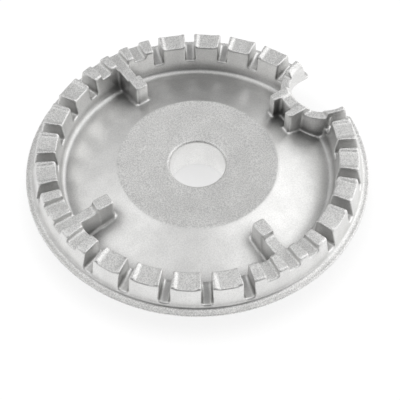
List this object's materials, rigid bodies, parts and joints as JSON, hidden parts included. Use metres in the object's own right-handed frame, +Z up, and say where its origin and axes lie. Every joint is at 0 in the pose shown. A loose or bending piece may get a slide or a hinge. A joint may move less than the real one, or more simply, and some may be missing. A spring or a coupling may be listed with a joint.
{
  "type": "gas hob burner crown",
  "caption": "Cast aluminium flame spreader ring with toothed gas ports, cap posts and an electrode notch.",
  "frame": {"origin": "on the crown's axis, in the plane the skirt stands on", "axes": "+Z up through the gas inlet towards the teeth, +X through the middle of the electrode notch"},
  "size_m": [0.0988, 0.1, 0.0185],
  "materials": {
    "cast_aluminium": "as cast, satin with blasted seats"
  },
  "bodies": {
    "root": {"burner_crown": "cast_aluminium"}
  },
  "joints": []
}
